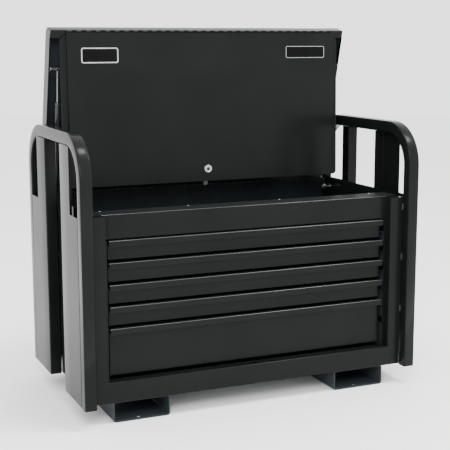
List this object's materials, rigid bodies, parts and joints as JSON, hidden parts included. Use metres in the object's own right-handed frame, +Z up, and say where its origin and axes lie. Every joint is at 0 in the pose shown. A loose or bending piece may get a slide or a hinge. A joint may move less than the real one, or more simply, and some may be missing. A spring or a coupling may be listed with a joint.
{
  "type": "tool chest",
  "caption": "Steel tool chest with a hinged lid, a drawer cover hung from the lid, full-width drawers, side hoops and fork pockets as feet.",
  "frame": {"origin": "on the floor, at the centre of the bounding box of the chest with its lid open", "axes": "+Z up, drawers face -Y, +X to the right of someone facing the drawers from the front"},
  "size_m": [1.22, 0.6882, 1.2646],
  "materials": {
    "powder_coat": "semi-gloss powder coat, charcoal black",
    "inner_coat": "satin powder coat, black",
    "zinc": "bright zinc plate",
    "dark_steel": "gloss black enamel",
    "chrome": "bright chrome",
    "badge": "satin, blank"
  },
  "bodies": {
    "chest": {"left_hoop": "powder_coat", "left_front_column_cover": "powder_coat", "left_rear_column_cover": "powder_coat", "left_side_panel": "powder_coat", "left_slide_panel": "inner_coat", "left_fork_pocket": "powder_coat", "left_strut_lower_stud": "zinc", "right_hoop": "powder_coat", "right_front_column_cover": "powder_coat", "right_rear_column_cover": "powder_coat", "right_side_panel": "powder_coat", "right_slide_panel": "inner_coat", "right_fork_pocket": "powder_coat", "right_strut_lower_stud": "zinc", "rear_panel": "powder_coat", "base_panel": "inner_coat", "front_frame": "powder_coat", "top_front_panel": "powder_coat", "compartment_floor": "inner_coat", "lid_hinge_chest_leaf": "dark_steel", "lid_hinge_pin": "zinc", "left_runner_1": "zinc", "right_runner_1": "zinc", "left_runner_2": "zinc", "right_runner_2": "zinc", "left_runner_3": "zinc", "right_runner_3": "zinc", "left_runner_4": "zinc", "right_runner_4": "zinc", "left_runner_5": "zinc", "right_runner_5": "zinc"},
    "lid": {"lid": "powder_coat", "lid_hinge_lid_leaf": "dark_steel", "left_strut_upper_stud": "zinc", "right_strut_upper_stud": "zinc", "cover_hinge_lid_leaf": "dark_steel", "cover_hinge_pin": "zinc"},
    "drawer_cover": {"drawer_cover": "powder_coat", "cover_hinge_cover_leaf": "dark_steel", "left_badge_plate": "badge", "right_badge_plate": "badge", "lock_barrel": "chrome"},
    "lock": {"lock_plug": "chrome", "lock_cam": "zinc"},
    "left_strut_cylinder": {"left_strut_cylinder": "dark_steel"},
    "left_strut_rod": {"left_strut_rod": "zinc"},
    "right_strut_cylinder": {"right_strut_cylinder": "dark_steel"},
    "right_strut_rod": {"right_strut_rod": "zinc"},
    "drawer_1": {"drawer_1_box": "inner_coat", "drawer_1_front": "powder_coat"},
    "drawer_2": {"drawer_2_box": "inner_coat", "drawer_2_front": "powder_coat"},
    "drawer_3": {"drawer_3_box": "inner_coat", "drawer_3_front": "powder_coat"},
    "drawer_4": {"drawer_4_box": "inner_coat", "drawer_4_front": "powder_coat"},
    "drawer_5": {"drawer_5_box": "inner_coat", "drawer_5_front": "powder_coat"}
  },
  "joints": [
    {"name": "lid_hinge", "type": "hinge", "parent": "chest", "child": "lid", "pos_m": [0, 0.27936, 0.681], "axis": [1, 0, 0], "range_deg": [0, 75]},
    {"name": "cover_hinge", "type": "hinge", "parent": "lid", "child": "drawer_cover", "pos_m": [0, 0.12386, 1.2517], "axis": [1, 0, 0], "range_deg": [-195.5, 0]},
    {"name": "lock_turn", "type": "hinge", "parent": "drawer_cover", "child": "lock", "pos_m": [0, 0.11094, 0.75837], "axis": [0, 0.9997, -0.0262], "range_deg": [0, 90]},
    {"name": "left_strut_pivot", "type": "hinge", "parent": "chest", "child": "left_strut_cylinder", "pos_m": [-0.535, 0.21086, 0.652], "axis": [1, 0, 0], "range_deg": [0, 79]},
    {"name": "left_strut_slide", "type": "slide", "parent": "left_strut_cylinder", "child": "left_strut_rod", "axis": [0, -0.0993, 0.9951], "range_m": [-0.0845, 0]},
    {"name": "right_strut_pivot", "type": "hinge", "parent": "chest", "child": "right_strut_cylinder", "pos_m": [0.535, 0.21086, 0.652], "axis": [1, 0, 0], "range_deg": [0, 79]},
    {"name": "right_strut_slide", "type": "slide", "parent": "right_strut_cylinder", "child": "right_strut_rod", "axis": [0, -0.0993, 0.9951], "range_m": [-0.0845, 0]},
    {"name": "drawer_1_slide", "type": "slide", "parent": "chest", "child": "drawer_1", "axis": [0, -1, 0], "range_m": [0, 0.42]},
    {"name": "drawer_2_slide", "type": "slide", "parent": "chest", "child": "drawer_2", "axis": [0, -1, 0], "range_m": [0, 0.42]},
    {"name": "drawer_3_slide", "type": "slide", "parent": "chest", "child": "drawer_3", "axis": [0, -1, 0], "range_m": [0, 0.42]},
    {"name": "drawer_4_slide", "type": "slide", "parent": "chest", "child": "drawer_4", "axis": [0, -1, 0], "range_m": [0, 0.42]},
    {"name": "drawer_5_slide", "type": "slide", "parent": "chest", "child": "drawer_5", "axis": [0, -1, 0], "range_m": [0, 0.42]}
  ],
  "couplings": [
    {"joint": "cover_hinge", "follows": "lid_hinge", "ratio": -2.6},
    {"joint": "left_strut_pivot", "follows": "lid_hinge", "ratio": 1.05},
    {"joint": "left_strut_slide", "follows": "lid_hinge", "m_per_rad": -0.06394},
    {"joint": "right_strut_pivot", "follows": "lid_hinge", "ratio": 1.05},
    {"joint": "right_strut_slide", "follows": "lid_hinge", "m_per_rad": -0.06394}
  ]
}
